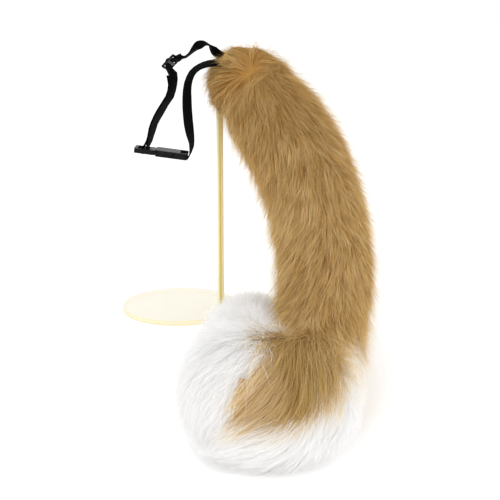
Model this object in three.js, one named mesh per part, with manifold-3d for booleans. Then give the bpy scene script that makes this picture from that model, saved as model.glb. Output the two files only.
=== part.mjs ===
// Costume fox tail on its display stand, with the belt that ties it on. Millimetres, +Z up.
// The origin is the centre of the stand disc's underside. The tail's root is pushed on top of
// the rod, the tail bulges to +X, comes forward to -Y and down, lies on the table and turns
// back on itself, so its tip points at the stand again.
import * as THREE from 'three';
import { ConvexGeometry } from 'three/addons/geometries/ConvexGeometry.js';
import { mergeVertices } from 'three/addons/utils/BufferGeometryUtils.js';
import Module from 'manifold-3d';

const wasm = await Module();
wasm.setup();

const UP = new THREE.Vector3(0, 0, 1);
const DEPTH = new THREE.Vector3(0, 1, 0);

// Driving dimensions
const gap = 0.3; // between pieces that touch
const mergeDistance = 1e-3;
const finest = 0.01; // detail kept where fur solids are joined and cut
const stand = {
  discRadius: 68, discThickness: 6, bevel: 0.8,
  rodRadius: 4, rodOffset: 49, rodTop: 265, seat: 3,
};
const tail = {
  bulge: 111, // how far the spine swings out past the rod
  reach: 422, // how far forward of the rod the turn lies
  headRise: 29, // from the rod's top up to the gathered root end
  radius: 52, // of the fur's dense form, where it is fullest
  sag: 0.93, // height of the spine over the table, in radii, where the tail lies
};
const lock = {
  length: 92, pitch: 50, width: 38, thickness: 9,
  lift: 0.1, // of the tip off the dense form, in radii of the tail
  shag: 0.22, // how far a tip drifts round the tail, in radians
  mostTurn: 1.1, // of the spine over a lock's length, in radians
  mostSqueeze: 0.75, // shortest stage inside a turn, against its length along the spine
  brownOverhang: 0.3, whiteOverhang: 0.25, // past the end of the dense form, in lock lengths
  first: 4, // from the gathered root end
  seeds: 37, // between rows
};
const core = { sides: 14, brownPieces: 12, turnPieces: 4, whitePieces: 7 };
const belt = {
  width: 20, thickness: 1.2, span: 100, drop: 107,
  exitLeft: 9, exitBack: 7, exitRise: 3, // from the root's gathered end to where the belt leaves the fur
  slack: 0.5, // of the webbing where it turns round a bar
  layer: 0.5, // between the two layers of the left strand, more than the gap
};
const buckle = {
  width: 27, height: 7.2, wall: 1.4, socketLength: 36, socketCorner: 3.2,
  plugLength: 24, plugWidth: 24.4, plugHeight: 5.4, plugCorner: 2.5,
  bar: 3, slot: 5, endBar: 3.6, webbingPlay: 1.2, wrapRelief: 1,
  prong: 21, centreProng: 17, prongWidth: 4.4, prongHeight: 3.4, prongCorner: 1.4, prongRoot: 2,
  window: 10, end: 2, slope: 7.6,
};
const through = 1; // how far a cut runs past the face it opens
const slider = {
  length: 19, width: 26, thickness: 2, endBar: 2.5, centreBar: 2.6, side: 2.3, corner: 3,
  left: 0.585, drop: 0.052, turn: 19, slope: 45.4, runIn: 3,
};

// Spine of the tail, from the gathered root to the tip. right, forward and lift are shares of
// tail.bulge, tail.reach and the root's height; girth is a share of tail.radius.
const spineRows = [
  { right: 0.135, forward: 0.076, lift: 1.0, girth: 0.12, coat: 'brown' },
  { right: 0.16, forward: 0.064, lift: 0.983, girth: 0.52, coat: 'brown' },
  { right: 0.215, forward: 0.043, lift: 0.945, girth: 0.79, coat: 'brown' },
  { right: 0.315, forward: 0.01, lift: 0.869, girth: 0.96, coat: 'brown' },
  { right: 0.47, forward: 0.043, lift: 0.79, girth: 1.0, coat: 'brown' },
  { right: 0.66, forward: 0.147, lift: 0.685, girth: 1.0, coat: 'brown' },
  { right: 0.83, forward: 0.284, lift: 0.55, girth: 0.98, coat: 'brown' },
  { right: 0.935, forward: 0.438, lift: 0.396, girth: 0.93, coat: 'brown' },
  { right: 0.945, forward: 0.58, lift: 0.248, girth: 0.88, coat: 'brown' },
  { right: 0.865, forward: 0.711, lift: 0.127, girth: 0.81, coat: 'brown' },
  { right: 0.765, forward: 0.815, lift: 0.053, girth: 0.8, coat: 'brown' },
  { right: 0.69, forward: 0.893, lift: 0.015, girth: 0.9, coat: 'brown' },
  { right: 0.6, forward: 0.94, lift: 0, girth: 0.99, coat: 'white' },
  { right: 0.44, forward: 0.955, lift: 0, girth: 1.03, coat: 'white' },
  { right: 0.31, forward: 0.925, lift: 0, girth: 1.03, coat: 'white' },
  { right: 0.28, forward: 0.81, lift: 0, girth: 0.94, coat: 'white' },
  { right: 0.295, forward: 0.68, lift: 0, girth: 0.86, coat: 'white' },
  { right: 0.315, forward: 0.56, lift: 0.032, girth: 0.74, coat: 'white' },
  { right: 0.32, forward: 0.474, lift: 0.057, girth: 0.56, coat: 'white' },
  { right: 0.33, forward: 0.431, lift: 0.085, girth: 0.26, coat: 'white' },
];

// Where the brown coat gives way to the white. Over the turn the brown lies on top: above a plane
// through the tail there, which rises to the inside of the turn.
const coatEdge = {
  start: -52, // along the spine from the table's change of coat, where the white begins below the plane
  end: 40, // and where the brown ends above it
  height: 68, // of the plane at the change of coat
  rise: 5, // degrees
  clear: 55, // along the spine past that end, where the brown's dense form keeps out of the white's
  margin: 12, // between the edge and the last brown roots
};

// Belt strands. left and drop are shares of belt.span and belt.drop from where the belt leaves
// the fur; turn is how far the webbing's face is turned to the front, in degrees.
const rightStrandRows = [
  { left: 0.372, drop: 0.905, turn: 17 },
  { left: 0.384, drop: 0.81, turn: 28 },
  { left: 0.4, drop: 0.7, turn: 33 },
  { left: 0.413, drop: 0.535, turn: 33 },
  { left: 0.414, drop: 0.404, turn: 31 },
  { left: 0.404, drop: 0.28, turn: 26 },
  { left: 0.357, drop: 0.163, turn: 20 },
  { left: 0.276, drop: 0.096, turn: 15 },
  { left: 0.165, drop: 0.061, turn: 16 },
  { left: 0.06, drop: 0.055, turn: 16 },
];
const hiddenRows = [
  { left: -0.08, drop: 0.1, turn: 12 },
  { left: -0.16, drop: 0.094, turn: 8 },
  { left: -0.19, drop: 0.056, turn: 8 },
  { left: -0.16, drop: 0.02, turn: 12 },
  { left: -0.07, drop: 0.006, turn: 20 },
];
const archRows = [
  { left: 0.05, drop: -0.021, turn: 28 },
  { left: 0.114, drop: -0.076, turn: 26 },
  { left: 0.163, drop: -0.127, turn: 6 },
  { left: 0.218, drop: -0.142, turn: 18 },
  { left: 0.273, drop: -0.127, turn: 27 },
  { left: 0.318, drop: -0.096, turn: 18 },
  { left: 0.363, drop: -0.051, turn: 8 },
  { left: 0.407, drop: -0.016, turn: 6 },
  { left: 0.455, drop: 0, turn: 12 },
];
const leftStrandRows = [
  { left: 0.57, drop: 0.175, turn: 26 },
  { left: 0.568, drop: 0.28, turn: 21 },
  { left: 0.604, drop: 0.404, turn: 20 },
  { left: 0.707, drop: 0.56, turn: 28 },
  { left: 0.781, drop: 0.685, turn: 23 },
  { left: 0.808, drop: 0.769, turn: 19 },
  { left: 0.838, drop: 0.864, turn: 12 },
];

// Helpers that turn geometry into solids and back
function toSolid(geometry) {
  const plain = geometry.clone();
  plain.deleteAttribute('normal');
  plain.deleteAttribute('uv');
  const merged = mergeVertices(plain, mergeDistance);
  return new wasm.Manifold(new wasm.Mesh({
    numProp: 3,
    vertProperties: new Float32Array(merged.attributes.position.array),
    triVerts: new Uint32Array(merged.index.array),
  }));
}

function toGeometry(solid) {
  const mesh = solid.getMesh();
  const geometry = new THREE.BufferGeometry();
  geometry.setAttribute('position', new THREE.BufferAttribute(new Float32Array(mesh.vertProperties), 3));
  geometry.setIndex(new THREE.BufferAttribute(new Uint32Array(mesh.triVerts), 1));
  geometry.computeVertexNormals();
  return geometry;
}

function joined(solids) {
  return solids.reduce((all, one) => all.add(one));
}

// The main body alone: pockets sealed between locks are filled, and loose slivers go
function mainBody(solid) {
  const larger = (most, one) => (one.volume() > most.volume() ? one : most);
  const largest = (from) => from.decompose().reduce(larger);
  return largest(toSolid(toGeometry(largest(solid).setTolerance(finest))));
}

// A closed loft through rings of points that run counter-clockwise about the way they travel.
// A last ring of one point makes a tip.
function loft(rings) {
  const positions = rings.flat().flatMap((p) => [p.x, p.y, p.z]);
  const count = rings[0].length;
  const index = [];
  for (let j = 1; j < count - 1; j += 1) index.push(0, j + 1, j);
  for (let i = 0; i < rings.length - 1; i += 1) {
    const near = i * count;
    const far = near + count;
    for (let j = 0; j < count; j += 1) {
      const k = (j + 1) % count;
      if (rings[i + 1].length === 1) {
        index.push(near + j, near + k, far);
      } else {
        index.push(near + j, near + k, far + k, near + j, far + k, far + j);
      }
    }
  }
  if (rings.at(-1).length > 1) {
    const last = (rings.length - 1) * count;
    for (let j = 1; j < count - 1; j += 1) index.push(last, last + j, last + j + 1);
  }
  const geometry = new THREE.BufferGeometry();
  geometry.setAttribute('position', new THREE.Float32BufferAttribute(positions, 3));
  geometry.setIndex(index);
  return geometry;
}

function blockAt(sizeX, sizeY, sizeZ, x, y, z) {
  return toSolid(new THREE.BoxGeometry(sizeX, sizeY, sizeZ).translate(x, y, z));
}

// A plate with rounded corners in plan, from x0 to x1
function plate(x0, x1, width, height, corner) {
  const shape = new THREE.Shape();
  const half = width / 2;
  shape.moveTo(x0 + corner, -half);
  shape.lineTo(x1 - corner, -half);
  shape.quadraticCurveTo(x1, -half, x1, -half + corner);
  shape.lineTo(x1, half - corner);
  shape.quadraticCurveTo(x1, half, x1 - corner, half);
  shape.lineTo(x0 + corner, half);
  shape.quadraticCurveTo(x0, half, x0, half - corner);
  shape.lineTo(x0, -half + corner);
  shape.quadraticCurveTo(x0, -half, x0 + corner, -half);
  const geometry = new THREE.ExtrudeGeometry(shape, { depth: height, bevelEnabled: false, curveSegments: 3 });
  return toSolid(geometry.translate(0, 0, -height / 2));
}

// Stand
function discGeometry(radius, thickness, bevel) {
  const profile = [
    [0, 0], [radius - bevel, 0], [radius, bevel], [radius, thickness - bevel], [radius - bevel, thickness],
    [0, thickness],
  ].map(([r, z]) => new THREE.Vector2(r, z));
  return new THREE.LatheGeometry(profile, 64).rotateX(Math.PI / 2);
}

function rodCylinder(radius, bottom, top, sides) {
  const geometry = new THREE.CylinderGeometry(radius, radius, top - bottom, sides);
  return toSolid(geometry.rotateX(Math.PI / 2).translate(stand.rodOffset, 0, (bottom + top) / 2));
}

function standBase() {
  const seatFloor = stand.discThickness - stand.seat;
  const seat = rodCylinder(stand.rodRadius + gap, seatFloor, stand.discThickness + 1, 20);
  return toSolid(discGeometry(stand.discRadius, stand.discThickness, stand.bevel)).subtract(seat);
}

function standRod() {
  return rodCylinder(stand.rodRadius, stand.discThickness - stand.seat + gap, stand.rodTop, 20);
}

// Tail
const rootHeight = stand.rodTop + tail.headRise;

function stationOf(row) {
  const radius = row.girth * tail.radius;
  const lying = tail.sag * radius;
  const centre = new THREE.Vector3(
    stand.rodOffset + row.right * tail.bulge,
    -row.forward * tail.reach,
    lying + row.lift * (rootHeight - lying),
  );
  return { centre, radius };
}

const stations = spineRows.map(stationOf);
const spine = new THREE.CatmullRomCurve3(stations.map((s) => s.centre));
const girth = new THREE.CatmullRomCurve3(stations.map((s) => new THREE.Vector3(s.radius, 0, 0)));
const spineLength = spine.getLength();
const firstWhite = spineRows.findIndex((row) => row.coat === 'white');
const coatChange = shareOfRow(firstWhite - 0.5);

// Share of the spine's length at a row of the table
function shareOfRow(row) {
  const steps = 20 * (spineRows.length - 1);
  const lengths = spine.getLengths(steps);
  return lengths[Math.round(20 * row)] / lengths[steps];
}

// Centre, radius and directions of the tail's section at a share of its length
function sectionAt(share) {
  const u = Math.min(Math.max(share, 0), 1);
  const t = spine.getUtoTmapping(u);
  const ahead = spine.getTangent(t);
  const across = new THREE.Vector3().crossVectors(UP, ahead).normalize();
  const up = new THREE.Vector3().crossVectors(ahead, across);
  const centre = spine.getPoint(t).addScaledVector(ahead, (share - u) * spineLength);
  return { centre, radius: girth.getPoint(t).x, ahead, across, up };
}

function outward(section, angle) {
  return section.across.clone().multiplyScalar(Math.cos(angle)).addScaledVector(section.up, Math.sin(angle));
}

function onTable(point) {
  point.z = Math.max(point.z, 0);
  return point;
}

function coreRing(section, grow) {
  return Array.from({ length: core.sides }, (_, i) => {
    const out = outward(section, (i / core.sides) * Math.PI * 2);
    return onTable(section.centre.clone().addScaledVector(out, section.radius + grow));
  });
}

// The dense form is a chain of convex pieces from section to section
function corePieces(from, to, pieces, grow) {
  const shares = Array.from({ length: pieces + 1 }, (_, i) => from + ((to - from) * i) / pieces);
  const rings = shares.map((share) => coreRing(sectionAt(share), grow));
  return rings.slice(1).map((ring, i) => toSolid(new ConvexGeometry([...rings[i], ...ring])));
}

// A repeatable spread of values from 0 to 1
function spread(seed) {
  const value = Math.sin(seed * 12.9898 + 4.1414) * 43758.5453;
  return value - Math.floor(value);
}

// Stages of a lock from its root in the fur to its tip
const lockStages = [
  { along: 0, height: -0.2, wide: 0.7, thick: 0.8 },
  { along: 0.34, height: 0, wide: 1, thick: 1 },
  { along: 0.7, height: 0.75, wide: 0.68, thick: 0.7 },
  { along: 1, height: 1, wide: 0, thick: 0 },
];

const tipGrowth = 8; // how much farther a sharp tip moves on than the sides move out
const sideLap = 1.2; // of neighbouring locks

// A three-sided section with its ridge outward, every side moved out by grow
function lockSection(half, thick, grow) {
  const slope = Math.hypot(half, 2 * thick);
  const ridge = thick + (grow * slope) / half;
  const side = half + (grow * (slope + half)) / (2 * thick);
  return [[ridge, 0], [-thick - grow, side], [-thick - grow, -side]];
}

function lockRings(share, angle, length, count, seed, grow) {
  const drift = (spread(seed + 0.5) - 0.5) * lock.shag;
  let before = null;
  return lockStages.map((stage) => {
    const section = sectionAt(share + (stage.along * length) / spineLength);
    const turned = angle + drift * stage.along;
    const out = outward(section, turned);
    const around = outward(section, turned + Math.PI / 2);
    const lifted = stage.height * (stage.height < 0 ? 1 : lock.lift);
    const middle = section.centre.clone().addScaledVector(out, section.radius * (1 + lifted));
    const way = before ? middle.clone().sub(before).normalize() : section.ahead;
    before = middle;
    if (stage.wide === 0) return [middle.clone().addScaledVector(way, grow * tipGrowth)];
    const half = Math.min((Math.PI * section.radius * sideLap) / count, lock.width / 2) * stage.wide;
    const thick = (lock.thickness / 2) * stage.thick;
    return lockSection(half, thick, grow).map(([o, a]) => (
      middle.clone().addScaledVector(out, o).addScaledVector(around, a)));
  });
}

// No lock where the tail is pressed flat on the table, or squeezed inside its turn
function liesFree(place) {
  const rings = lockRings(...place, 0);
  const lowest = Math.min(...rings.flat().map((p) => p.z));
  const length = place[2];
  const spaced = lockStages.slice(1).every((stage, i) => {
    const run = (stage.along - lockStages[i].along) * length;
    return rings[i + 1][0].distanceTo(rings[i][0]) > lock.mostSqueeze * run;
  });
  return spaced && lowest > lock.thickness / 2;
}

// How far a lock can run before the spine has turned by lock.mostTurn
function runOfTurn(share) {
  const start = sectionAt(share).ahead;
  const turnAfter = (run) => start.angleTo(sectionAt(share + run / spineLength).ahead);
  let run = 0;
  while (run < 2 * lock.length && turnAfter(run) < lock.mostTurn) run += 2;
  return run;
}

function furLocks(from, to, furthest, grow, rooted) {
  const rows = Math.max(1, Math.round(((to - from) * spineLength) / lock.pitch));
  const locks = [];
  for (let row = 0; row < rows; row += 1) {
    const share = from + ((to - from) * row) / rows;
    const radius = sectionAt(share + lock.pitch / spineLength / 2).radius;
    const count = Math.max(6, Math.round((2 * Math.PI * radius) / lock.width));
    for (let i = 0; i < count; i += 1) {
      const seed = row * lock.seeds + i;
      const angle = ((i + (row % 2) / 2 + (spread(seed) - 0.5) * 0.3) / count) * Math.PI * 2;
      const wanted = lock.length * (0.8 + 0.4 * spread(seed + 0.25));
      const length = Math.min(wanted, (furthest - share) * spineLength, runOfTurn(share));
      const place = [share, angle, length, count, seed];
      if (rooted(place) && liesFree(place)) locks.push(toSolid(loft(lockRings(...place, grow))));
    }
  }
  return locks;
}

function onSurface(share, angle) {
  const section = sectionAt(share);
  return section.centre.addScaledVector(outward(section, angle), section.radius);
}

const edgeRise = THREE.MathUtils.degToRad(coatEdge.rise);
const edgeNormal = new THREE.Vector3(Math.sin(edgeRise), 0, Math.cos(edgeRise));
const edgePoint = sectionAt(coatChange).centre.setZ(coatEdge.height);
const edgePlane = new THREE.Plane().setFromNormalAndCoplanarPoint(edgeNormal, edgePoint);
const firstWhiteShare = coatChange + coatEdge.start / spineLength;
const lastBrownShare = coatChange + coatEdge.end / spineLength;
const clearShare = lastBrownShare + coatEdge.clear / spineLength;

function overEdge(share, angle) {
  return edgePlane.distanceToPoint(onSurface(share, angle));
}

function brownCoat(grow) {
  const further = grow / spineLength;
  const whole = corePieces(0, firstWhiteShare + further, core.brownPieces, grow);
  const over = joined(corePieces(firstWhiteShare, lastBrownShare + further, core.turnPieces, grow))
    .trimByPlane(edgeNormal.toArray(), -edgePlane.constant - grow);
  const beyond = joined(corePieces(lastBrownShare, clearShare, core.turnPieces, gap - grow));
  const dense = joined([...whole, over]).subtract(beyond);
  const furthest = lastBrownShare + (lock.brownOverhang * lock.length) / spineLength;
  const rooted = ([share, angle]) => (
    share < firstWhiteShare - coatEdge.margin / spineLength || overEdge(share, angle) > coatEdge.margin);
  return joined([dense, ...furLocks(lock.first / spineLength, lastBrownShare, furthest, grow, rooted)]);
}

function whiteCoat() {
  const under = joined(corePieces(firstWhiteShare, lastBrownShare, core.turnPieces, 0))
    .trimByPlane(edgeNormal.clone().negate().toArray(), edgePlane.constant);
  const turn = corePieces(lastBrownShare, clearShare, core.turnPieces, 0);
  const rest = corePieces(clearShare, 1, core.whitePieces, 0);
  const lastRow = 1 - (0.5 * lock.pitch) / spineLength;
  const furthest = 1 + (lock.whiteOverhang * lock.length) / spineLength;
  const rooted = ([share, angle]) => share > lastBrownShare || overEdge(share, angle) < 0;
  return joined([under, ...turn, ...rest, ...furLocks(firstWhiteShare, lastRow, furthest, 0, rooted)]);
}

// Belt
const rootEnd = stations[0].centre;
const beltExit = rootEnd.clone().add(new THREE.Vector3(-belt.exitLeft, belt.exitBack, belt.exitRise));

function beltPoint(left, drop) {
  return beltExit.clone().add(new THREE.Vector3(-left * belt.span, 0, -drop * belt.drop));
}

function rowPoints(rows) {
  return rows.map((row) => ({ at: beltPoint(row.left, row.drop), turn: row.turn }));
}

const buckleTurn = THREE.MathUtils.degToRad(buckle.slope);
const buckleAxis = new THREE.Vector3(Math.cos(buckleTurn), 0, -Math.sin(buckleTurn));
const buckleUp = new THREE.Vector3(Math.sin(buckleTurn), 0, Math.cos(buckleTurn));
const buckleCentre = beltPoint(0.712, 0.982);

function inBuckle(x, z) {
  return buckleCentre.clone().addScaledVector(buckleAxis, x).addScaledVector(buckleUp, z);
}

// Where the bars lie along the buckle
const plugEnd = -(buckle.plugLength + buckle.socketLength) / 2;
const mouth = plugEnd + buckle.plugLength;
const socketEnd = mouth + buckle.socketLength;
const plugBar = plugEnd + buckle.endBar + buckle.slot + buckle.bar / 2;
const socketBar = socketEnd - buckle.endBar / 2;

// Webbing turned under a bar, from its right side to its left or back. halfTurns says how far.
const socketHalfTurns = [0, 0.25, 0.5, 0.75, 1];
const plugHalfTurns = [...socketHalfTurns, 1.25];

function wrap(barX, barWidth, sign, halfTurns) {
  const radius = barWidth / 2 + gap + belt.thickness / 2 + belt.slack;
  return halfTurns.map((share) => {
    const angle = share * Math.PI;
    return { at: inBuckle(barX + sign * radius * Math.cos(angle), -radius * Math.sin(angle)), turn: 0 };
  });
}

const sliderSlope = THREE.MathUtils.degToRad(slider.slope);
const sliderWay = new THREE.Vector3(-Math.cos(sliderSlope), 0, -Math.sin(sliderSlope));
const sliderWidth = turnedWidth(sliderWay, slider.turn);
const sliderFace = new THREE.Vector3().crossVectors(sliderWay, sliderWidth);
const sliderCentre = beltPoint(slider.left, slider.drop);

// The webbing goes over the slider's end bars and under its centre bar
function sliderWeave() {
  const over = slider.thickness / 2 + belt.thickness / 2 + gap + belt.slack;
  const inner = slider.length / 2 - slider.endBar;
  const bar = slider.centreBar / 2;
  const between = (inner + bar) / 2;
  const steps = [
    { along: -slider.length / 2 - slider.runIn, off: over },
    { along: -inner, off: over },
    { along: -between, off: 0 },
    { along: -bar, off: -over },
    { along: bar, off: -over },
    { along: between, off: 0 },
    { along: inner - belt.slack, off: over + belt.slack },
  ];
  return steps.map(({ along, off }) => ({
    at: sliderCentre.clone().addScaledVector(sliderWay, along).addScaledVector(sliderFace, off),
    width: sliderWidth,
  }));
}

// The layer that comes back up beside the left strand, from the plug's bar to under the slider
function returnLayer(strand) {
  const apart = belt.thickness + gap + belt.layer;
  return strand.map((point) => {
    const face = new THREE.Vector3().crossVectors(point.way, point.width).normalize();
    return { at: point.at.clone().addScaledVector(face, -apart), width: point.width };
  }).reverse();
}

function beltRoute() {
  const points = [
    ...wrap(socketBar, buckle.endBar, -1, socketHalfTurns),
    ...rowPoints(rightStrandRows),
    ...rowPoints(hiddenRows),
    ...rowPoints(archRows),
    ...sliderWeave(),
    ...rowPoints(leftStrandRows),
    ...wrap(plugBar, buckle.bar, 1, plugHalfTurns),
  ];
  const framed = points.map((point, i) => {
    const way = points[Math.min(i + 1, points.length - 1)].at.clone().sub(points[Math.max(i - 1, 0)].at);
    return { at: point.at, way, width: point.width ?? turnedWidth(way, point.turn) };
  });
  const strandEnd = framed.length - plugHalfTurns.length;
  const strand = framed.slice(strandEnd - leftStrandRows.length, strandEnd);
  return [...framed, ...returnLayer(strand)];
}

// The webbing's width lies front to back, turned about the strand to show its face
function turnedWidth(way, degrees) {
  const turn = THREE.MathUtils.degToRad(degrees);
  const flat = new THREE.Vector3().crossVectors(way, DEPTH).normalize();
  return DEPTH.clone().multiplyScalar(Math.cos(turn)).addScaledVector(flat, Math.sin(turn));
}

// Webbing as a loft along its route, with a margin for the channel that it lies in
function webbing(points, margin) {
  const route = new THREE.CatmullRomCurve3(points.map((p) => p.at));
  const widths = new THREE.CatmullRomCurve3(points.map((p) => p.width));
  const steps = (points.length - 1) * 2;
  const rings = [];
  for (let i = 0; i <= steps; i += 1) {
    const t = i / steps;
    const way = route.getTangent(t);
    const face = new THREE.Vector3().crossVectors(way, widths.getPoint(t)).normalize();
    const width = new THREE.Vector3().crossVectors(face, way);
    const halfWidth = belt.width / 2 + margin;
    const halfThick = belt.thickness / 2 + margin;
    const at = route.getPoint(t);
    rings.push([[1, -1], [1, 1], [-1, 1], [-1, -1]].map(([w, f]) => (
      at.clone().addScaledVector(width, w * halfWidth).addScaledVector(face, f * halfThick))));
  }
  return toSolid(loft(rings));
}

// Buckle, in its own frame: x along it, y across it, z off its face
const slotWidth = belt.width + buckle.webbingPlay;

// Clears the webbing's turn round a bar, above and below it, down to the bar's own thickness
function wrapRelief(x, length, height) {
  const thin = (height - buckle.bar) / 2 + through;
  return [-1, 1].map((s) => blockAt(length, slotWidth, thin, x, 0, (s * (buckle.bar + thin)) / 2));
}

function bucklePlug() {
  const height = buckle.plugHeight;
  const body = plate(plugEnd, mouth - gap, buckle.plugWidth, height, buckle.plugCorner);
  const slots = [-1, 1].map((s) => {
    const x = plugBar + (s * (buckle.bar + buckle.slot)) / 2;
    return blockAt(buckle.slot, slotWidth, height + 2 * through, x, 0, 0);
  });
  const reliefs = wrapRelief(plugBar, buckle.bar + 2 * buckle.wrapRelief, height);
  const side = buckle.width / 2 - buckle.wall - gap - buckle.prongWidth / 2;
  const prongs = [-1, 0, 1].map((s) => {
    const end = mouth + (s === 0 ? buckle.centreProng : buckle.prong);
    const root = mouth - buckle.prongRoot;
    const prong = plate(root, end, buckle.prongWidth, buckle.prongHeight, buckle.prongCorner);
    return prong.translate([0, s * side, 0]);
  });
  return joined([body.subtract(joined([...slots, ...reliefs])), ...prongs]);
}

function buckleSocket() {
  const body = plate(mouth, socketEnd, buckle.width, buckle.height, buckle.socketCorner);
  const depth = buckle.prong + buckle.end;
  const inside = buckle.width - 2 * buckle.wall;
  const cavityX = mouth + (depth - through) / 2;
  const cavity = blockAt(depth + through, inside, buckle.prongHeight + 2 * gap, cavityX, 0, 0);
  const windowX = mouth + depth - buckle.end - buckle.window / 2;
  const windows = blockAt(buckle.window, buckle.width + 2 * through, buckle.prongHeight, windowX, 0, 0);
  const slotX = socketBar - (buckle.endBar + buckle.slot) / 2;
  const slot = blockAt(buckle.slot, slotWidth, buckle.height + 2 * through, slotX, 0, 0);
  const reliefs = wrapRelief(socketBar + through, buckle.endBar + 2 * through, buckle.height);
  return body.subtract(joined([cavity, windows, slot, ...reliefs]));
}

function sliderBody() {
  const body = plate(-slider.length / 2, slider.length / 2, slider.width, slider.thickness, slider.corner);
  const slotLength = slider.length / 2 - slider.endBar - slider.centreBar / 2;
  const at = slider.centreBar / 2 + slotLength / 2;
  const opening = slider.width - 2 * slider.side;
  const slots = [-at, at].map((x) => blockAt(slotLength, opening, slider.thickness + 2 * through, x, 0, 0));
  return body.subtract(joined(slots));
}

const looks = {
  brown_fur: { color: 0xb07f45, roughness: 0.95, metalness: 0 },
  white_fur: { color: 0xf1efec, roughness: 0.95, metalness: 0 },
  clear_acrylic: { color: 0xf3efd6, roughness: 0.05, metalness: 0, transparent: true, opacity: 0.4 },
  black_webbing: { color: 0x141416, roughness: 0.85, metalness: 0 },
  black_plastic: { color: 0x101012, roughness: 0.4, metalness: 0 },
};

function meshOf(name, solid, look) {
  const mesh = new THREE.Mesh(toGeometry(solid), new THREE.MeshStandardMaterial(looks[look]));
  mesh.name = name;
  return mesh;
}

const brown = brownCoat(0);
const rodSocket = rodCylinder(stand.rodRadius + gap, 0, stand.rodTop + gap, 20);
const route = beltRoute();
const brownFur = mainBody(brown.subtract(rodSocket).subtract(webbing(route, gap)));
const whiteFur = mainBody(whiteCoat().subtract(brownCoat(gap)));

const group = new THREE.Group();
group.add(
  meshOf('stand_base', standBase(), 'clear_acrylic'),
  meshOf('stand_rod', standRod(), 'clear_acrylic'),
  meshOf('tail_fur_brown', brownFur, 'brown_fur'),
  meshOf('tail_fur_white', whiteFur, 'white_fur'),
  meshOf('belt_webbing', webbing(route, 0), 'black_webbing'),
);

const buckleGroup = new THREE.Group();
buckleGroup.position.copy(buckleCentre);
buckleGroup.rotation.y = buckleTurn;
buckleGroup.add(
  meshOf('buckle_plug', bucklePlug(), 'black_plastic'),
  meshOf('buckle_socket', buckleSocket(), 'black_plastic'),
);
group.add(buckleGroup);

const sliderGroup = new THREE.Group();
sliderGroup.position.copy(sliderCentre);
const sliderBasis = new THREE.Matrix4().makeBasis(sliderWay, sliderWidth, sliderFace);
sliderGroup.quaternion.setFromRotationMatrix(sliderBasis);
sliderGroup.add(meshOf('belt_slider', sliderBody(), 'black_plastic'));
group.add(sliderGroup);

export default group;
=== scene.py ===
import math
from collections import namedtuple

import bpy
import numpy as np
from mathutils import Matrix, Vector, kdtree


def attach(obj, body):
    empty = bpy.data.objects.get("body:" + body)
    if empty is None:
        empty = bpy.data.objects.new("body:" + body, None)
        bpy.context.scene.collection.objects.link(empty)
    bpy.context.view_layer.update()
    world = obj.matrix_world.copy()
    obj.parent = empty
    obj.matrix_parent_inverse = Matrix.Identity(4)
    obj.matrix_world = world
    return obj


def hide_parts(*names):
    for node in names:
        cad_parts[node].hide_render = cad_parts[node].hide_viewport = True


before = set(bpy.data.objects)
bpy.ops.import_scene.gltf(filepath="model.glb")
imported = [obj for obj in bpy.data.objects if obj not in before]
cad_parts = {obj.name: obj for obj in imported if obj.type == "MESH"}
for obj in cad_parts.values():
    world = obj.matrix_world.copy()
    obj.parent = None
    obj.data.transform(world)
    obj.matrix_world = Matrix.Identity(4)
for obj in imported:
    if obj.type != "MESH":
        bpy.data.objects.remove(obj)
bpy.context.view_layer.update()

MM = 0.001
UP = np.array([0.0, 0.0, 1.0])
TURN = 2 * math.pi
rng = np.random.default_rng(20)

# Named sizes, the same as the part's
ROD_OFFSET = 49.0
ROD_TOP = 265.0
ROD_RADIUS = 4.0
DISC_THICKNESS = 6.0
BULGE = 111.0
REACH = 422.0
HEAD_RISE = 29.0
DENSE_RADIUS = 52.0
SAG = 0.93
ROOT_HEIGHT = ROD_TOP + HEAD_RISE

# The spine in shares of bulge, reach, root height and dense radius, from the root to the tip
Row = namedtuple("Row", "right forward lift girth")
SPINE_ROWS = [
    Row(0.135, 0.076, 1.0, 0.12),
    Row(0.16, 0.064, 0.983, 0.52),
    Row(0.215, 0.043, 0.945, 0.79),
    Row(0.315, 0.01, 0.869, 0.96),
    Row(0.47, 0.043, 0.79, 1.0),
    Row(0.66, 0.147, 0.685, 1.0),
    Row(0.83, 0.284, 0.55, 0.98),
    Row(0.935, 0.438, 0.396, 0.93),
    Row(0.945, 0.58, 0.248, 0.88),
    Row(0.865, 0.711, 0.127, 0.81),
    Row(0.765, 0.815, 0.053, 0.8),
    Row(0.69, 0.893, 0.015, 0.9),
    Row(0.6, 0.94, 0, 0.99),
    Row(0.44, 0.955, 0, 1.03),
    Row(0.31, 0.925, 0, 1.03),
    Row(0.28, 0.81, 0, 0.94),
    Row(0.295, 0.68, 0, 0.86),
    Row(0.315, 0.56, 0.032, 0.74),
    Row(0.32, 0.474, 0.057, 0.56),
    Row(0.33, 0.431, 0.085, 0.26),
]
FIRST_WHITE = 12
STEPS_PER_ROW = 40


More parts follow.
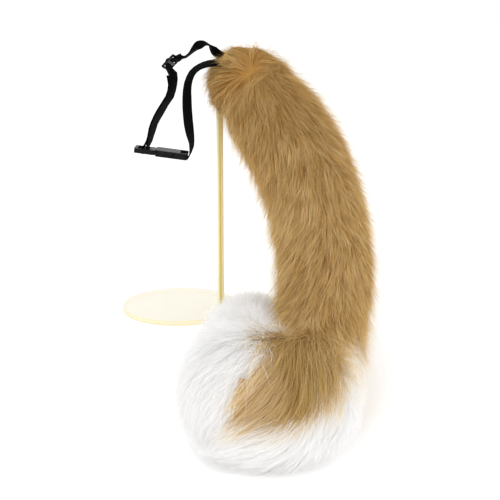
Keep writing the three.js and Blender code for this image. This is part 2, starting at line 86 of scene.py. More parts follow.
def catmull(points, per_segment):
    """Centripetal Catmull-Rom through points, as an array of evenly numbered samples."""
    pts = np.vstack([2 * points[0] - points[1], points, 2 * points[-1] - points[-2]])
    out = []
    for i in range(1, len(pts) - 2):
        p0, p1, p2, p3 = pts[i - 1], pts[i], pts[i + 1], pts[i + 2]
        d0 = max(np.linalg.norm(p1 - p0), 1e-6) ** 0.5
        d1 = max(np.linalg.norm(p2 - p1), 1e-6) ** 0.5
        d2 = max(np.linalg.norm(p3 - p2), 1e-6) ** 0.5
        m1 = ((p1 - p0) / d0 - (p2 - p0) / (d0 + d1) + (p2 - p1) / d1) * d1
        m2 = ((p2 - p1) / d1 - (p3 - p1) / (d1 + d2) + (p3 - p2) / d2) * d1
        last = 1 if i == len(pts) - 3 else 0
        t = np.linspace(0, 1, per_segment + 1)[: per_segment + last, None]
        t2, t3 = t * t, t * t * t
        out.append(
            (2 * t3 - 3 * t2 + 1) * p1 + (t3 - 2 * t2 + t) * m1 + (3 * t2 - 2 * t3) * p2 + (t3 - t2) * m2
        )
    return np.vstack(out)


def unit(v):
    return v / np.maximum(np.linalg.norm(v, axis=-1, keepdims=True), 1e-9)


def rise(value, start, end):
    """From 0 at the start to 1 at the end, which may lie below the start, and level beyond both."""
    return np.clip((value - start) / (end - start), 0, 1)


def stations():
    """Centres of the spine's rows, and their radii as the first of three columns."""
    centres, radii = [], []
    for row in SPINE_ROWS:
        radius = row.girth * DENSE_RADIUS
        lying = SAG * radius
        height = lying + row.lift * (ROOT_HEIGHT - lying)
        centres.append([ROD_OFFSET + row.right * BULGE, -row.forward * REACH, height])
        radii.append([radius, 0.0, 0.0])
    return np.array(centres), np.array(radii)


CENTRES, RADII = stations()
LINE = catmull(CENTRES, STEPS_PER_ROW)
LINE_RADIUS = catmull(RADII, STEPS_PER_ROW)[:, 0]
RUN = np.concatenate([[0], np.cumsum(np.linalg.norm(np.diff(LINE, axis=0), axis=1))])
LENGTH = RUN[-1]
CHANGE = RUN[int(STEPS_PER_ROW * (FIRST_WHITE - 0.5))]  # where along the spine the colour changes
LINE_AHEAD = unit(np.gradient(LINE, axis=0))
BEND = np.gradient(LINE_AHEAD, axis=0) / np.gradient(RUN)[:, None]

# Round ends, and how steeply the girth grows, for the way out of the skin
CAP = 6.0
CAP_STEPS = CAP * np.array([0.25, 0.5, 0.7, 0.85, 0.95, 1.0])
CAP_SHAPE = np.sqrt(1 - (CAP_STEPS / CAP) ** 2)
STEEPEST = 4
GIRTH_RUN = np.concatenate([-CAP_STEPS[::-1], RUN, LENGTH + CAP_STEPS])
GIRTH = np.concatenate([LINE_RADIUS[0] * CAP_SHAPE[::-1], LINE_RADIUS, LINE_RADIUS[-1] * CAP_SHAPE])
GIRTH_SLOPE = np.clip(np.gradient(GIRTH, GIRTH_RUN), -STEEPEST, STEEPEST)


def along_spine(run, table):
    return np.stack([np.interp(run, RUN, table[:, i]) for i in range(3)], axis=-1)


def section(run):
    """Centre, radius and directions of the tail at distances along its spine."""
    inside = np.clip(run, 0, LENGTH)
    ahead = unit(along_spine(inside, LINE_AHEAD))
    across = unit(np.cross(UP, ahead))
    up = np.cross(ahead, across)
    centre = along_spine(inside, LINE) + ahead * (run - inside)[..., None]
    radius = np.interp(run, GIRTH_RUN, GIRTH)
    return centre, radius, ahead, across, up


def surface(run, angle, height):
    """Points at a height over the dense form, and the outward way there."""
    centre, radius, ahead, across, up = section(run)
    out = across * np.cos(angle)[..., None] + up * np.sin(angle)[..., None]
    slope = np.interp(run, GIRTH_RUN, GIRTH_SLOPE)
    normal = unit(out - ahead * slope[..., None])
    return centre + out * radius[..., None] + normal * height[..., None], normal


# Materials
FUR_ROUGHNESS = 0.62
FUR_SPECULAR = 0.25


def material(name, color, roughness, specular=0.5):
    mat = bpy.data.materials.new(name)
    mat.use_nodes = True
    shader = mat.node_tree.nodes["Principled BSDF"]
    shader.inputs["Base Color"].default_value = (*color, 1)
    shader.inputs["Roughness"].default_value = roughness
    shader.inputs["Specular IOR Level"].default_value = specular
    return mat, shader


def fur_material(name, color, translucent):
    """Hair that takes its colour from the mesh's tint and lets some of the light through."""
    mat, shader = material(name, color, FUR_ROUGHNESS, FUR_SPECULAR)
    nodes, links = mat.node_tree.nodes, mat.node_tree.links
    tint = nodes.new("ShaderNodeAttribute")
    tint.attribute_name = "tint"
    links.new(tint.outputs["Color"], shader.inputs["Base Color"])
    through = nodes.new("ShaderNodeBsdfTranslucent")
    links.new(tint.outputs["Color"], through.inputs["Color"])
    mix = nodes.new("ShaderNodeMixShader")
    mix.inputs["Fac"].default_value = translucent
    links.new(shader.outputs["BSDF"], mix.inputs[1])
    links.new(through.outputs["BSDF"], mix.inputs[2])
    links.new(mix.outputs["Shader"], nodes["Material Output"].inputs["Surface"])
    return mat


BROWN_MAT = fur_material("brown_fur", (0.42, 0.25, 0.09), 0.35)
WHITE_MAT = fur_material("white_fur", (0.9, 0.88, 0.84), 0.5)


# Meshes from arrays
def mesh_object(name, points, faces, mat, tint=None, smooth=True):
    mesh = bpy.data.meshes.new(name)
    mesh.vertices.add(len(points))
    mesh.vertices.foreach_set("co", (points * MM).astype(np.float32).ravel())
    count, sides = faces.shape
    mesh.loops.add(count * sides)
    mesh.loops.foreach_set("vertex_index", faces.astype(np.int32).ravel())
    mesh.polygons.add(count)
    mesh.polygons.foreach_set("loop_start", np.arange(0, count * sides, sides, dtype=np.int32))
    mesh.update(calc_edges=True)
    if smooth:
        mesh.polygons.foreach_set("use_smooth", np.ones(count, dtype=bool))
    if tint is not None:
        layer = mesh.color_attributes.new("tint", "FLOAT_COLOR", "POINT")
        rgba = np.concatenate([tint, np.ones((len(tint), 1))], axis=1)
        layer.data.foreach_set("color", rgba.astype(np.float32).ravel())
    mesh.materials.append(mat)
    obj = bpy.data.objects.new(name, mesh)
    bpy.context.scene.collection.objects.link(obj)
    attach(obj, "root")
    return obj


# Fur: what the two coats have in common
STAGES = np.array([0.0, 0.38, 0.72, 1.0])  # shares of a strand's length where its points lie
TAPER = np.array([0.85, 1.0, 0.62, 0.0])
FIRST_RISE = 3.0  # of every strand off the skin
FIRST_STEEP = 2.2  # how much sooner than its length that is done
LIFT_CURVE = 1.6
LENGTH_VARIES = 0.12
LEAN_VARIES = 0.6
DROOP_RANGE = (0.5, 1.5)
CLUMP_RANGE = (0.5, 1.2)
WIDTH_RANGE = (0.6, 1.3)
FLY_SHARE = 0.22  # of the strands that stand off and stay thin
FLY_WIDTH = 0.45
FLY_PAINTED_GLOW = 1.1  # how much lighter these are painted: painted glow of the light that shines through thin hair at the fur's edges
FLY_CLUMP = 0.2
FLY_LOW = 0.4  # of the coat's lift, at least
MICRO_PULL = 0.4  # of the small clumps towards the large ones
CLUMP_TIP = 0.85  # how much of the distance to a clump's middle closes at the tip
CLUMP_CURVE = 0.8
MOST_CLUMPED = 0.95
STRAND_TURN = 1.2  # radians that a strip may be turned about its own line, either way
STRAND_SHADE = 0.55
CLUMP_SHADE = 0.75
STRAND_CLEAR = 0.4  # over the table
SKIN_CLEAR = 0.6

# The skin that the fur grows on, under the dense form
DepthRow = namedtuple("DepthRow", "run depth")
SKIN_ROWS = [DepthRow(0, 7), DepthRow(60, 11), DepthRow(CHANGE - 120, 11), DepthRow(CHANGE - 50, 6)]
SKIN_STEP = 4
SKIN_SIDES = 40

# A coat's lengths, and the distances from the change between which it falls over the turn; ease is how
# few strands stand high, fly_high how high the loose ones go, micro and macro the clumps' spacing
Coat = namedtuple(
    "Coat", "name length spread lift ease fly_high droop width lean clump micro macro fall_from fall_to"
)
BROWN = Coat(
    name="brown", length=38.0, spread=0.3, lift=8.0, ease=1.8, fly_high=2.0, droop=2.0, width=0.5,
    lean=0.12, clump=0.6, micro=5.0, macro=22.0, fall_from=-115.0, fall_to=400.0,
)
WHITE = Coat(
    name="white", length=24.0, spread=0.45, lift=12.0, ease=1.35, fly_high=1.35, droop=1.0, width=0.4,
    lean=0.45, clump=0.03, micro=7.0, macro=26.0, fall_from=-200.0, fall_to=130.0,
)

# Where the brown gives way to the white: all round at the start, and on top of the turn up to the
# end, over an edge that climbs to the right and stops at the left
EDGE_START = -52.0
EDGE_END = 30.0
EDGE_SOONER = 30.0  # how much sooner it starts on the outside of the turn
SOONER_OUTSIDE = (0.3, 0.8)  # range of the angle's cosine over which it does
EdgeRow = namedtuple("EdgeRow", "x height")
LOWER_EDGE = [
    EdgeRow(60, 57),
    EdgeRow(121, 64),
    EdgeRow(135, 69),
    EdgeRow(145, 80),
    EdgeRow(160, 87),
    EdgeRow(180, 90),
]
LEFT_EDGE = [EdgeRow(40, 76), EdgeRow(82, 86), EdgeRow(102, 100)]
BROWN_BLUR = 2.0
WHITE_BLUR = 1.5
WHITE_BACK = 4.0  # how far the white roots stay from the edge

# Round the root the fur grows away from a whorl and hangs down
WHORL = np.array([83.0, -44.0, 285.0])
SETTLE = np.array([-0.1, 0.0, -0.6])
WHORL_START = 110.0  # distances along the spine between which the whorl takes over
WHORL_END = 40.0
CROWN_LIFT = 3.0  # of the fur over the gathered end, where the belt goes in
CROWN_START = 10.0
CROWN_END = 24.0

# Over the turn it falls down the front and fans out to the left
FALL = np.array([-0.06, -0.72, -0.62])
FAN = np.array([-0.62, 0.0, 0.0])
FAN_X = 128.0
FAN_SPAN = 32.0
FAN_MOST = 1.2
FAN_FLAT = 0.5  # how much less it fans on top
FALL_STARTS = 80.0  # distances over which falling takes over and ends
FALL_ENDS = 60.0

# The brown fur at the leg's foot: long over the hollow behind the turn, short and raised inside it
OVER_LONGER = 0.9
OVER_LIFT = 7.0
FOOT_SHORTER = 0.5
FLARE = 2.0

# Where it does so: distances from the change over which each of these comes and goes, and ranges of
# the angle's cosine, which is 1 on the outside of the turn and -1 on the inside, or of its sine
Zone = namedtuple("Zone", "start full until end")
OVER_ZONE = Zone(-95, -65, -25, 0)
SHORT_ZONE = Zone(-110, -80, 100, 110)
FLARE_ZONE = Zone(-130, -80, -35, -15)
OVER_TOP = (0, 1 / 3)
OVER_NOT_INSIDE = (-0.625, 0)
SHORT_INSIDE = (-0.4, -0.8)
FLARE_INSIDE = (-0.3, -0.8)

# How the coat's main direction varies
WAVES = 7
WAVES_SEED = 3
SHORTEST_WAVE = 60
LONGEST_WAVE = 250
MOST_TURNS = 4

# Spreading roots and strands over the skin
MOST_PINCHED = 0.35
MOST_SPREAD = 2.6
LEAST_RADIUS = 5
GRID = 3000
TRIES_PER_ROOT = 5


def skin_depth(run):
    return np.interp(run, [row.run for row in SKIN_ROWS], [row.depth for row in SKIN_ROWS])


def wave(run, angle):
    """A smooth field from -1 to 1 over the tail, for how the fur lies."""
    local = np.random.default_rng(WAVES_SEED)
    total = np.zeros_like(run)
    for _ in range(WAVES):
        waves_per_mm = local.uniform(1 / LONGEST_WAVE, 1 / SHORTEST_WAVE)
        turns = local.integers(1, MOST_TURNS + 1)
        phase = local.uniform(0, TURN, 2)
        total += np.sin(run * waves_per_mm * TURN + phase[0]) * np.cos(angle * turns + phase[1])
    return total * 2 / WAVES


def over_edge(run, angle):
    """How far inside the brown coat a root lies, in millimetres; less than nothing is white."""
    at, _ = surface(run, angle, np.zeros_like(run))
    lower = np.interp(at[:, 0], [row.x for row in LOWER_EDGE], [row.height for row in LOWER_EDGE])
    left = np.interp(at[:, 2], [row.height for row in LEFT_EDGE], [row.x for row in LEFT_EDGE])
    over = np.minimum(at[:, 2] - lower, at[:, 0] - left)
    on_turn = np.minimum(over, CHANGE + EDGE_END - run)
    sooner = EDGE_SOONER * rise(np.cos(angle), *SOONER_OUTSIDE)
    return np.maximum(on_turn, CHANGE + EDGE_START - sooner - run)


def spread(run, angle):
    """How much longer the skin is than the spine, inside or outside a bend."""
    _, radius, _, across, up = section(run)
    out = across * np.cos(angle)[:, None] + up * np.sin(angle)[:, None]
    bend = np.sum(out * along_spine(run, BEND), axis=1)
    return np.clip(1 - radius * bend, MOST_PINCHED, MOST_SPREAD)


def scatter(count, start, end):
    """Roots spread evenly over the skin between two distances along the spine."""
    grid = np.linspace(start, end, GRID)
    radius = np.interp(grid, GIRTH_RUN, GIRTH)
    weight = (radius + 1) * np.sqrt(1 + np.gradient(radius, grid) ** 2)
    total = np.concatenate([[0], np.cumsum((weight[1:] + weight[:-1]) / 2)])
    tries = count * TRIES_PER_ROOT
    run = np.interp(rng.uniform(0, total[-1], tries), total, grid)
    angle = rng.uniform(0, TURN, tries)
    taken = rng.uniform(0, MOST_SPREAD, tries) < spread(run, angle)
    return run[taken][:count], angle[taken][:count]


def on_skin(way, normal):
    """A direction without its part that leaves the skin."""
    return way - normal * np.sum(way * normal, axis=1, keepdims=True)


def heading(coat, run, angle, lean):
    """How fast the fur at places on the skin runs on along the spine and round it."""
    centre, radius, ahead, across, up = section(run)
    cos = np.cos(angle)[:, None]
    sin = np.sin(angle)[:, None]
    out = across * cos + up * sin
    around = up * cos - across * sin
    at = centre + out * radius[:, None]
    slope = np.interp(run, GIRTH_RUN, GIRTH_SLOPE)[:, None]
    steep = np.sqrt(1 + slope * slope)
    down_skin = (ahead + out * slope) / steep
    normal = (out - ahead * slope) / steep
    aside = lean[:, None]
    along = unit(down_skin + around * aside)
    away = unit(on_skin(at - WHORL, normal))
    away = unit(away + on_skin(SETTLE, normal) + np.cross(normal, away) * aside)
    rooted = rise(run, WHORL_START, WHORL_END)[:, None]
    along = unit(along * (1 - rooted) + away * rooted)
    fan = np.clip((FAN_X - at[:, :1]) / FAN_SPAN, 0, FAN_MOST)
    fan = fan * (1 - FAN_FLAT * np.clip(normal[:, 2:], 0, 1))
    fall = unit(on_skin(FALL + FAN * fan, normal))
    fall = unit(fall + np.cross(normal, fall) * aside)
    first = CHANGE + coat.fall_from
    last = CHANGE + coat.fall_to
    much = (rise(run, first, first + FALL_STARTS) * rise(run, last, last - FALL_ENDS))[:, None]
    way = unit(along * (1 - much) + fall * much)
    onward = np.sum(way * down_skin, axis=1) / steep[:, 0] / spread(run, angle)
    turning = np.sum(way * around, axis=1) / np.maximum(radius, LEAST_RADIUS)
    return onward, turning


def strand_paths(coat, run, angle, length, lift, lean, droop):
    """Polylines of strands, as an array of strands, stages and coordinates."""
    paths, outs = [], []
    before = 0.0
    for s in STAGES:
        if s > before:
            onward, turning = heading(coat, run, angle, lean)
            run = run + onward * length * (s - before)
            angle = angle + turning * length * (s - before)
            before = s
        height = -skin_depth(run) + FIRST_RISE * min(1, s * FIRST_STEEP) + lift * s**LIFT_CURVE
        at, out = surface(run, angle, height)
        paths.append(at - UP * (droop * s * s)[:, None])
        outs.append(out)
    return np.stack(paths, axis=1), np.stack(outs, axis=1)


def gather(paths, centres, amount):
    """Strands lean together towards the nearest of the centre strands."""
    tree = kdtree.KDTree(len(centres))
    for i, point in enumerate(centres[:, 0]):
        tree.insert(point, i)
    tree.balance()
    near = np.array([tree.find(point)[1] for point in paths[:, 0]])
    mid = centres[near]
    offset = paths[:, :1] - mid[:, :1]
    for k, s in enumerate(STAGES):
        target = mid[:, k] + offset[:, 0] * (1 - CLUMP_TIP * s)
        pull = (amount * s**CLUMP_CURVE)[:, None]
        paths[:, k] = paths[:, k] * (1 - pull) + target * pull
    return paths, near


def on_table(points, least):
    points[..., 2] = np.maximum(points[..., 2], least)
    return points


def within(run, zone):
    """How far places are inside a zone along the spine, from 0 to 1."""
    from_change = run - CHANGE
    return rise(from_change, zone.start, zone.full) * rise(from_change, zone.end, zone.until)


def at_foot(run, angle):
    """How much brown fur lies over the hollow behind the turn, is short inside it, and flares there."""
    outward = np.cos(angle)
    over = within(run, OVER_ZONE) * rise(np.sin(angle), *OVER_TOP) * rise(outward, *OVER_NOT_INSIDE)
    short = within(run, SHORT_ZONE) * rise(outward, *SHORT_INSIDE)
    flare = within(run, FLARE_ZONE) * rise(outward, *FLARE_INSIDE)
    return over, short, flare


def coat_strands(coat, run, angle, fly):
    """Strands from their roots, the few in fly standing higher and looser than the rest."""
    count = len(run)
    lie = wave(run, angle)
    length = coat.length * (1 + coat.spread * rng.uniform(-1, 1, count)) * (1 + LENGTH_VARIES * lie)
    deep = skin_depth(run) - FIRST_RISE
    low = (deep + coat.lift) * rng.uniform(0, 1, count) ** coat.ease
    high = deep + coat.lift * rng.uniform(FLY_LOW, coat.fly_high, count)
    lift = np.where(fly, high, low) + CROWN_LIFT * rise(run, CROWN_END, CROWN_START)
    if coat is BROWN:
        over, short, flare = at_foot(run, angle)
        length = length * (1 + OVER_LONGER * over) * (1 - FOOT_SHORTER * short)
        lift = lift + OVER_LIFT * over + FLARE * flare
    lean = coat.lean * (lie + LEAN_VARIES * rng.normal(0, 1, count))
    droop = coat.droop * rng.uniform(*DROOP_RANGE, count)
    return strand_paths(coat, run, angle, length, lift, lean, droop)


# A strand's strip: two points at each stage but the last, and five triangles between them
STAGE_OF_POINT = np.array([0, 0, 1, 1, 2, 2, 3])
STRIP = np.array([[0, 1, 3], [0, 3, 2], [2, 3, 5], [2, 5, 4], [4, 5, 6]])
STRIP_POINTS = len(STAGE_OF_POINT)
STRIP_TRIANGLES = len(STRIP)
MOST_TRIANGLES = 190000  # in one piece


def ribbons(paths, outs, width, turn):
    """Tapered strips along the paths: vertex array, triangles."""
    ahead = unit(np.gradient(paths, axis=1))
    side = unit(np.cross(ahead, outs))
    raised = np.cross(side, ahead)
    flat = side * np.cos(turn)[:, None, None] + raised * np.sin(turn)[:, None, None]
    half = width[:, None] * TAPER[None, :] / 2
    left = paths + flat * half[..., None]
    right = paths - flat * half[..., None]
    points = np.stack(
        [left[:, 0], right[:, 0], left[:, 1], right[:, 1], left[:, 2], right[:, 2], paths[:, 3]], axis=1
    )
    faces = (STRIP[None] + STRIP_POINTS * np.arange(len(paths))[:, None, None]).reshape(-1, 3)
    return points.reshape(-1, 3), faces


def make_coat(coat, count, start, end, keep, colours, mat):
    """All strands of a coat, clumped in two sizes, in pieces of their own names."""
    run, angle = scatter(count, start, end)
    kept = keep(run, angle)
    run, angle = run[kept], angle[kept]
    fly = rng.uniform(0, 1, len(run)) < FLY_SHARE
    paths, outs = coat_strands(coat, run, angle, fly)

    def centres(spacing):
        area = TURN * DENSE_RADIUS * (end - start)
        c_run, c_angle = scatter(int(area / spacing**2), start, end)
        return coat_strands(coat, c_run, c_angle, np.zeros(len(c_run), dtype=bool))[0]

    macro = centres(coat.macro)
    micro, _ = gather(centres(coat.micro), macro, np.full(1, MICRO_PULL))
    amount = coat.clump * rng.uniform(*CLUMP_RANGE, len(run)) * np.where(fly, FLY_CLUMP, 1)
    paths, near = gather(paths, micro, np.clip(amount, 0, MOST_CLUMPED))
    paths = on_table(paths, STRAND_CLEAR)
    width = coat.width * rng.uniform(*WIDTH_RANGE, len(run)) * np.where(fly, FLY_WIDTH, 1)
    turn = rng.uniform(-STRAND_TURN, STRAND_TURN, len(run))
    points, faces = ribbons(paths, outs, width, turn)
    shade = rng.normal(0, 1, len(run)) * STRAND_SHADE
    # The stray hairs' lighter tone is painted glow, for the light that shines through thin hair at the
    # fur's edges
    shade = shade + rng.normal(0, 1, len(micro))[near] * CLUMP_SHADE + FLY_PAINTED_GLOW * fly
    tint = colours(run, angle, shade)[:, STAGE_OF_POINT].reshape(-1, 3)
    per_piece = MOST_TRIANGLES // STRIP_TRIANGLES
    for i, first in enumerate(range(0, len(run), per_piece)):
        strands = min(per_piece, len(run) - first)
        part = slice(first * STRIP_POINTS, (first + strands) * STRIP_POINTS)
        part_faces = faces[: strands * STRIP_TRIANGLES]
        name = f"{coat.name}_fur_{i + 1}"
        mesh_object(name, points[part], part_faces, mat, tint[part], smooth=False)


def linear(r, g, b):
    c = np.array([r, g, b]) / 255.0
    return np.where(c <= 0.04045, c / 12.92, ((c + 0.055) / 1.055) ** 2.4)


# Colours of the hair, and how far the shades of single strands reach
ROOT_TONE = np.array([0.88, 0.8, 0.66])  # of the fur near the tail's root, against the rest
ROOT_TONE_RUN = 260.0
TURN_TONE = np.array([0.79, 0.74, 0.6])
TURN_TONE_START = -70.0  # distances from the change
TURN_TONE_FULL = -10.0
ROOT_BROWN = linear(190, 142, 70)
ROOT_SHARE = 0.65
TIP_CURVE = 0.7
GOLD = linear(224, 195, 129)
BLOND = linear(248, 230, 182)
DARK = linear(176, 130, 66)
CREAM = linear(253, 236, 200)
CREAM_EDGE = 11.0  # how far from the white the brown strands' tips grow pale
CREAM_CURVE = 1.4
SHADE_SPAN = 2.2
SNOW = linear(252, 252, 252)
SHADE_WHITE = linear(248, 247, 246)
WHITE_LIGHT = 0.6
WHITE_VARIES = 0.3
WHITE_ROOT_DIM = 0.04


def brown_colours(run, angle, shade):
    light = rise(shade, 0, SHADE_SPAN)[:, None]
    dark = rise(shade, 0, -SHADE_SPAN)[:, None]
    tip = GOLD * (1 - light) + BLOND * light
    tip = tip * (1 - dark) + DARK * dark
    root = tip * (1 - ROOT_SHARE) + ROOT_BROWN * ROOT_SHARE
    near_edge = rise(over_edge(run, angle), CREAM_EDGE, 0)[:, None] ** CREAM_CURVE
    from_root = rise(run, 0, ROOT_TONE_RUN)[:, None]
    on_turn = rise(run - CHANGE, TURN_TONE_START, TURN_TONE_FULL)[:, None]
    tone = (ROOT_TONE * (1 - from_root) + from_root) * (TURN_TONE * on_turn + 1 - on_turn)
    tip = tip * tone
    root = root * tone
    stages = []
    for s in STAGES:
        mixed = root * (1 - s**TIP_CURVE) + tip * s**TIP_CURVE
        pale = near_edge * s
        stages.append(mixed * (1 - pale) + CREAM * pale)
    return np.stack(stages, axis=1)


def white_colours(run, angle, shade):
    light = np.clip(shade * WHITE_VARIES + WHITE_LIGHT, 0, 1)[:, None]
    body = SHADE_WHITE * (1 - light) + SNOW * light
    return np.stack([body * (1 - WHITE_ROOT_DIM * (1 - s)) for s in STAGES], axis=1)


def ring_skin(name, start, end, mat, colour):
    """A closed skin under the fur."""
    runs = np.linspace(start, end, int((end - start) / SKIN_STEP) + 2)
    angle = np.linspace(0, TURN, SKIN_SIDES, endpoint=False)
    rings = []
    for run in runs:
        at, _ = surface(np.full(SKIN_SIDES, run), angle, np.full(SKIN_SIDES, -skin_depth(run)))
        rings.append(at)
    points = on_table(np.vstack(rings), SKIN_CLEAR)
    caps = np.array([rings[0].mean(axis=0), rings[-1].mean(axis=0)])
    points = np.vstack([points, caps])
    faces = []
    last = (len(runs) - 1) * SKIN_SIDES
    for j in range(SKIN_SIDES):
        k = (j + 1) % SKIN_SIDES
        for i in range(len(runs) - 1):
            a = i * SKIN_SIDES + j
            b = i * SKIN_SIDES + k
            faces.append([a, b, b + SKIN_SIDES])
            faces.append([a, b + SKIN_SIDES, a + SKIN_SIDES])
        faces.append([len(points) - 2, k, j])
        faces.append([len(points) - 1, last + j, last + k])
    tint = np.tile(colour, (len(points), 1))
    return mesh_object(name, points, np.array(faces), mat, tint)


PATCH_STEP = 3.0
PATCH_SIDES = 121
PATCH_BEYOND = 8.0
PATCH_RISE = 1.0  # over the skin
PATCH_MARGIN = 7.0
PATCH_TINT = ROOT_BROWN * 0.6 + GOLD * 0.4


def brown_patch():
    """The skin under the brown fur that lies over the white."""
    runs = np.arange(CHANGE + EDGE_START, CHANGE + EDGE_END + PATCH_BEYOND, PATCH_STEP)
    angles = np.linspace(0, TURN, PATCH_SIDES)
    run, angle = (grid.ravel() for grid in np.meshgrid(runs, angles, indexing="ij"))
    points, _ = surface(run, angle, PATCH_RISE - skin_depth(run))
    inside = over_edge(run, angle) > -PATCH_MARGIN
    faces = []
    for i in range(len(runs) - 1):
        for j in range(PATCH_SIDES - 1):
            a = i * PATCH_SIDES + j
            b = a + PATCH_SIDES
            corners = [a, a + 1, b + 1, b]
            if inside[corners].all():
                faces.append(corners)
    tint = np.tile(PATCH_TINT, (len(points), 1))
    mesh_object("skin_over_turn", points, np.array(faces), BROWN_MAT, tint)


def keep_brown(run, angle):
    return over_edge(run, angle) > rng.normal(0, BROWN_BLUR, len(run))


def keep_white(run, angle):
    return over_edge(run, angle) < rng.normal(-WHITE_BACK, WHITE_BLUR, len(run))


SKINS_MEET = CHANGE - 30
skin_brown = ring_skin("skin_brown", -CAP, SKINS_MEET, BROWN_MAT, ROOT_BROWN)
skin_white = ring_skin("skin_white", SKINS_MEET, LENGTH + CAP, WHITE_MAT, SNOW)
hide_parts("tail_fur_brown")
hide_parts("tail_fur_white")
brown_patch()

BROWN_ENDS = CHANGE + 60
WHITE_STARTS = CHANGE - 95
TIP_ENDS = LENGTH + CAP
FUR_COUNT = 1.0
BROWN_COUNT = int(112000 * FUR_COUNT)
WHITE_COUNT = int(81000 * FUR_COUNT)
make_coat(BROWN, BROWN_COUNT, -CAP, BROWN_ENDS, keep_brown, brown_colours, BROWN_MAT)
make_coat(WHITE, WHITE_COUNT, WHITE_STARTS, TIP_ENDS, keep_white, white_colours, WHITE_MAT)


# The stand: clear acrylic, with painted light and shade in its tint
ACRYLIC = (0.8, 0.74, 0.5)
ACRYLIC_ROUGHNESS = 0.06
ROD_ALPHA = 0.92
DISC_ALPHA = 0.5


def repaint(node, mat):
    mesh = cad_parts[node].data
    mesh.materials.clear()
    mesh.materials.append(mat)


def painted_light_ramp(name, axis, start, end, stops, alpha):
    """Clear acrylic whose painted light and shade run as a tint across one axis, from start to end in
    millimetres.
    """
    mat, shader = material(name, ACRYLIC, ACRYLIC_ROUGHNESS)
    nodes, links = mat.node_tree.nodes, mat.node_tree.links
    shader.inputs["Alpha"].default_value = alpha
    geometry = nodes.new("ShaderNodeNewGeometry")
    split = nodes.new("ShaderNodeSeparateXYZ")
    links.new(geometry.outputs["Position"], split.inputs["Vector"])
    reach = nodes.new("ShaderNodeMapRange")
    reach.inputs["From Min"].default_value = start * MM
    reach.inputs["From Max"].default_value = end * MM
    links.new(split.outputs[axis], reach.inputs["Value"])
    ramp = nodes.new("ShaderNodeValToRGB")
    while len(ramp.color_ramp.elements) < len(stops):
        ramp.color_ramp.elements.new(0.5)
    for element, stop in zip(ramp.color_ramp.elements, stops):
        element.position = stop.place
        element.color = (*linear(*stop.colour), 1)
    links.new(reach.outputs["Result"], ramp.inputs["Fac"])
    links.new(ramp.outputs["Color"], shader.inputs["Base Color"])
    return mat


Stop = namedtuple("Stop", "place colour")
# Across the rod's width: the yellow is the acrylic's own, the bright band on the left is a painted
# highlight, and the dark band right of the middle is painted shade where the clear rod bends the light
ROD_PAINTED_LIGHT_STOPS = [
    Stop(0.0, (255, 251, 228)),
    Stop(0.2, (243, 236, 188)),
    Stop(0.42, (205, 190, 112)),
    Stop(0.55, (192, 174, 98)),
    Stop(0.7, (226, 208, 150)),
    Stop(1.0, (224, 206, 162)),
]
# Through the disc's thickness: the yellow is the acrylic's own, the golden lines near the bottom and top
# faces are painted glow along the rim, and the pale top is a painted highlight
DISC_PAINTED_LIGHT_STOPS = [
    Stop(0.0, (244, 240, 226)),
    Stop(0.1, (232, 208, 136)),
    Stop(0.5, (250, 236, 188)),
    Stop(0.9, (240, 220, 156)),
    Stop(1.0, (244, 242, 232)),
]
ROD_LEFT = ROD_OFFSET - ROD_RADIUS
ROD_RIGHT = ROD_OFFSET + ROD_RADIUS
repaint("stand_rod", painted_light_ramp("acrylic_rod_painted_light", "X", ROD_LEFT, ROD_RIGHT, ROD_PAINTED_LIGHT_STOPS, ROD_ALPHA))
repaint("stand_base", painted_light_ramp("acrylic_disc_painted_light", "Z", 0, DISC_THICKNESS, DISC_PAINTED_LIGHT_STOPS, DISC_ALPHA))

# The belt: webbing, and the buckle and slider in plastic
WEBBING_MAT, _ = material("black_webbing", (0.0012, 0.0012, 0.0014), 0.8, 0.04)
PLASTIC_MAT, _ = material("black_plastic", (0.0015, 0.0015, 0.0018), 0.35, 0.12)


def moulded(name):
    """A copy of a moulded piece in black plastic, in its place."""
    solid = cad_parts[name]
    piece = bpy.data.objects.new(name + "_moulded", solid.data.copy())
    piece.matrix_world = solid.matrix_world
    bpy.context.scene.collection.objects.link(piece)
    piece.data.materials.clear()
    piece.data.materials.append(PLASTIC_MAT)
    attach(piece, "root")
    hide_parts(name)


for name in ("buckle_plug", "buckle_socket", "belt_slider"):
    moulded(name)

# Where the webbing is drawn back into the fur, across and by how much
TUCK_FROM = 40.0
TUCK_TO = 60.0
TUCK = 15.0

# The left strand, which is seen more from the edge: a slanting line on its right, and its heights
STRAND_RIGHT = -4.0
STRAND_SLOPE = 0.3
STRAND_MIDDLE = 250.0
STRAND_LOW = 200.0
STRAND_HIGH = 280.0
STRAND_BAND = 5.0
STRAND_EASE = 10.0
STRAND_SHARE = 0.72


def draw_back(points):
    """Moves the webbing's points back where it goes into the fur."""
    tucked = rise(points[:, 0], TUCK_FROM, TUCK_TO)
    points[:, 1] += TUCK * tucked * tucked * (3 - 2 * tucked)


def narrow_strand(points):
    """Turns the left strand a little more edge-on, about its middle at each height."""
    right = STRAND_RIGHT + STRAND_SLOPE * (points[:, 2] - STRAND_MIDDLE)
    strand = (points[:, 0] < right) & (points[:, 2] > STRAND_LOW) & (points[:, 2] < STRAND_HIGH)
    heights = points[strand, 2]
    near = np.abs(heights[:, None] - heights[None]) < STRAND_BAND
    middle = near @ points[strand] / near.sum(axis=1, keepdims=True)
    ease = rise(np.minimum(heights - STRAND_LOW, STRAND_HIGH - heights), 0, STRAND_EASE)[:, None]
    narrow = 1 + (STRAND_SHARE - 1) * ease
    shares = np.hstack([narrow, 2 - narrow, np.ones_like(narrow)])
    points[strand] = middle + (points[strand] - middle) * shares


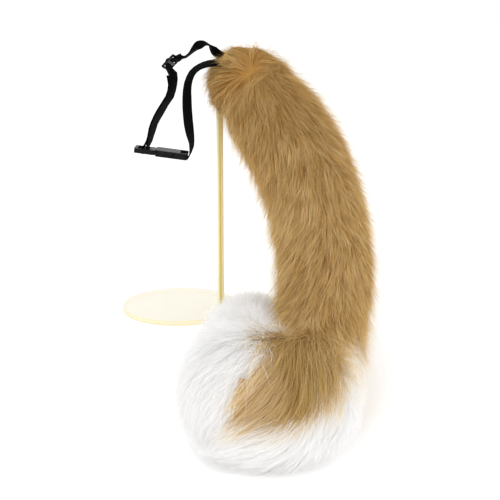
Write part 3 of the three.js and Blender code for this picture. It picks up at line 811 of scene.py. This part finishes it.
def webbing():
    """A copy of the webbing as the photograph shows it, in its place."""
    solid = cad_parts["belt_webbing"]
    flat = np.empty(len(solid.data.vertices) * 3, dtype=np.float32)
    solid.data.vertices.foreach_get("co", flat)
    place = np.array(solid.matrix_world)
    points = (flat.reshape(-1, 3) @ place[:3, :3].T + place[:3, 3]) / MM
    draw_back(points)
    narrow_strand(points)
    solid.data.calc_loop_triangles()
    faces = np.array([list(triangle.vertices) for triangle in solid.data.loop_triangles])
    strap = mesh_object("webbing", points, faces, WEBBING_MAT, smooth=False)
    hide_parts("belt_webbing")


webbing()

# Camera, lights and ground
CAMERA_PLACE = Vector((83.76, -1146.95, 358.85)) * MM
CAMERA_TILT = 75.95  # degrees up from looking straight down
scene = bpy.context.scene
camera_data = bpy.data.cameras.new("camera")
camera_data.lens = 72
camera_data.sensor_width = 36
camera = bpy.data.objects.new("camera", camera_data)
camera.location = CAMERA_PLACE
camera.rotation_euler = (math.radians(CAMERA_TILT), 0, 0)
scene.collection.objects.link(camera)
scene.camera = camera
scene.view_settings.view_transform = "Standard"

# Light bounces many times between white hairs
scene.cycles.max_bounces = 16
scene.cycles.diffuse_bounces = 12

world = bpy.data.worlds.new("studio")
world.use_nodes = True
background = world.node_tree.nodes["Background"]
background.inputs["Color"].default_value = (1, 1, 1, 1)
background.inputs["Strength"].default_value = 1.01
scene.world = world

# Soft lights, with places and sizes in metres
Light = namedtuple("Light", "name place target size watts")
LIGHTS = [
    Light("key", (-0.35, -1.5, 1.8), (0.08, -0.2, 0.12), 0.9, 9),
    Light("fill", (1.5, -1.2, 1.0), (0.08, -0.2, 0.12), 1.2, 4),
    Light("low", (0.1, -1.9, 0.3), (0.1, -0.4, 0.04), 0.8, 4.5),
]


def area_light(row):
    data = bpy.data.lights.new(row.name, "AREA")
    data.shape = "DISK"
    data.size = row.size
    data.energy = row.watts
    light = bpy.data.objects.new(row.name, data)
    light.location = row.place
    towards = Vector(row.target) - Vector(row.place)
    light.rotation_euler = towards.to_track_quat("-Z", "Y").to_euler()
    scene.collection.objects.link(light)


for row in LIGHTS:
    area_light(row)

FLOOR_METRES = 30
floor_mat, shader = material("floor", (1.0, 1.0, 1.0), 0.9)
shader.inputs["Emission Color"].default_value = (1, 1, 1, 1)
shader.inputs["Emission Strength"].default_value = 0.1
bpy.ops.mesh.primitive_plane_add(size=FLOOR_METRES, location=(0, 0, 0))
floor = bpy.context.object
floor.name = "floor"
floor.data.materials.append(floor_mat)
